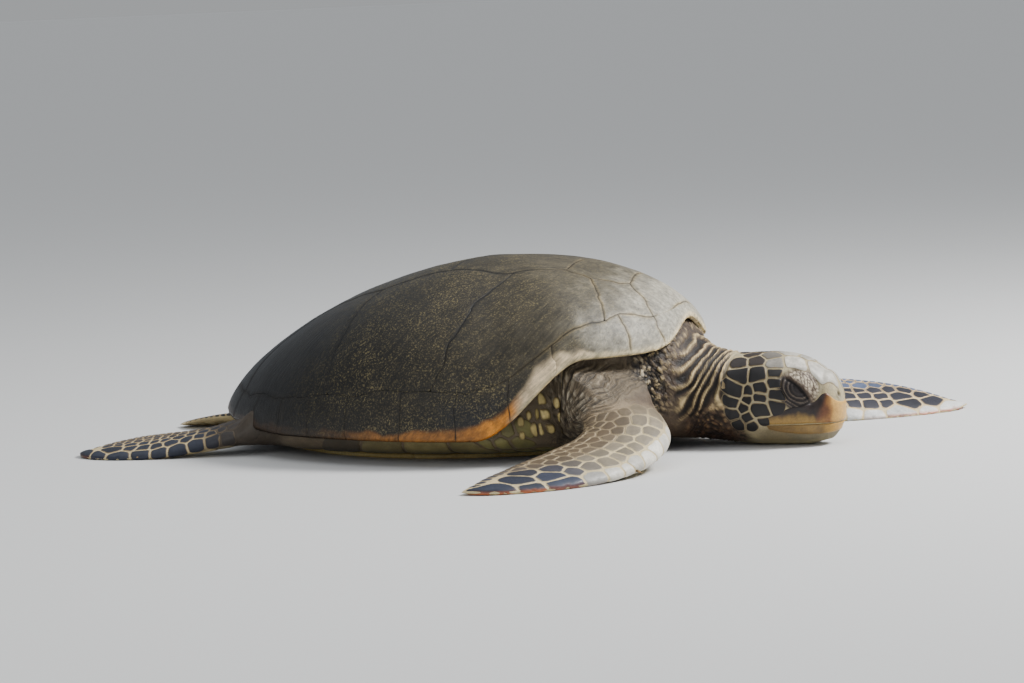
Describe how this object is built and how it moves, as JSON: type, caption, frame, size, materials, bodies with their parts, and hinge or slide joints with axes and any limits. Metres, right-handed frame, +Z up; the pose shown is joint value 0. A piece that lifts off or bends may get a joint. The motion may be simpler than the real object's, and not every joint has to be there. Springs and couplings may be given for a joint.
{
  "type": "green sea turtle",
  "caption": "Life-size still model of a basking green sea turtle, chin on the ground and eyes closed, with scaled flippers, horny beak and plated shell.",
  "frame": {"origin": "the point under the shell on the flat underside of the plastron, on the animal's mid line, at floor level", "axes": "+X forward to the snout, +Y to the animal's left, +Z up from the floor"},
  "size_m": [1.3032, 1.0477, 0.3],
  "materials": {
    "carapace": "dark olive-brown horn plates, dry and algae-speckled",
    "margin": "horn plates, dark above and amber to cream at the free edge",
    "plastron": "pale yellow-green horn plates",
    "skin": "wrinkled grey-brown skin with dark, cream-edged scales",
    "beak": "horn, dark brown to amber yellow",
    "eye": "dark and wet, nearly covered by the lids",
    "claw": "dark horn"
  },
  "bodies": {
    "root": {"arm_left": "skin", "arm_right": "skin", "blade_left": "skin", "blade_right": "skin", "claw_fore_left": "claw", "claw_fore_right": "claw", "claw_hind_left": "claw", "claw_hind_right": "claw", "costal_left_1": "carapace", "costal_left_2": "carapace", "costal_left_3": "carapace", "costal_left_4": "carapace", "costal_right_1": "carapace", "costal_right_2": "carapace", "costal_right_3": "carapace", "costal_right_4": "carapace", "eye_left": "eye", "eye_right": "eye", "head": "skin", "leg_left": "skin", "leg_right": "skin", "lower_beak": "beak", "marginal_left_1": "margin", "marginal_left_10": "margin", "marginal_left_11": "margin", "marginal_left_12": "margin", "marginal_left_2": "margin", "marginal_left_3": "margin", "marginal_left_4": "margin", "marginal_left_5": "margin", "marginal_left_6": "margin", "marginal_left_7": "margin", "marginal_left_8": "margin", "marginal_left_9": "margin", "marginal_right_1": "margin", "marginal_right_10": "margin", "marginal_right_11": "margin", "marginal_right_12": "margin", "marginal_right_2": "margin", "marginal_right_3": "margin", "marginal_right_4": "margin", "marginal_right_5": "margin", "marginal_right_6": "margin", "marginal_right_7": "margin", "marginal_right_8": "margin", "marginal_right_9": "margin", "neck": "skin", "nuchal": "margin", "plastron_front": "plastron", "plastron_rear": "plastron", "tail": "skin", "trunk": "skin", "upper_beak": "beak", "vertebral_1": "carapace", "vertebral_2": "carapace", "vertebral_3": "carapace", "vertebral_4": "carapace", "vertebral_5": "carapace"}
  },
  "joints": []
}
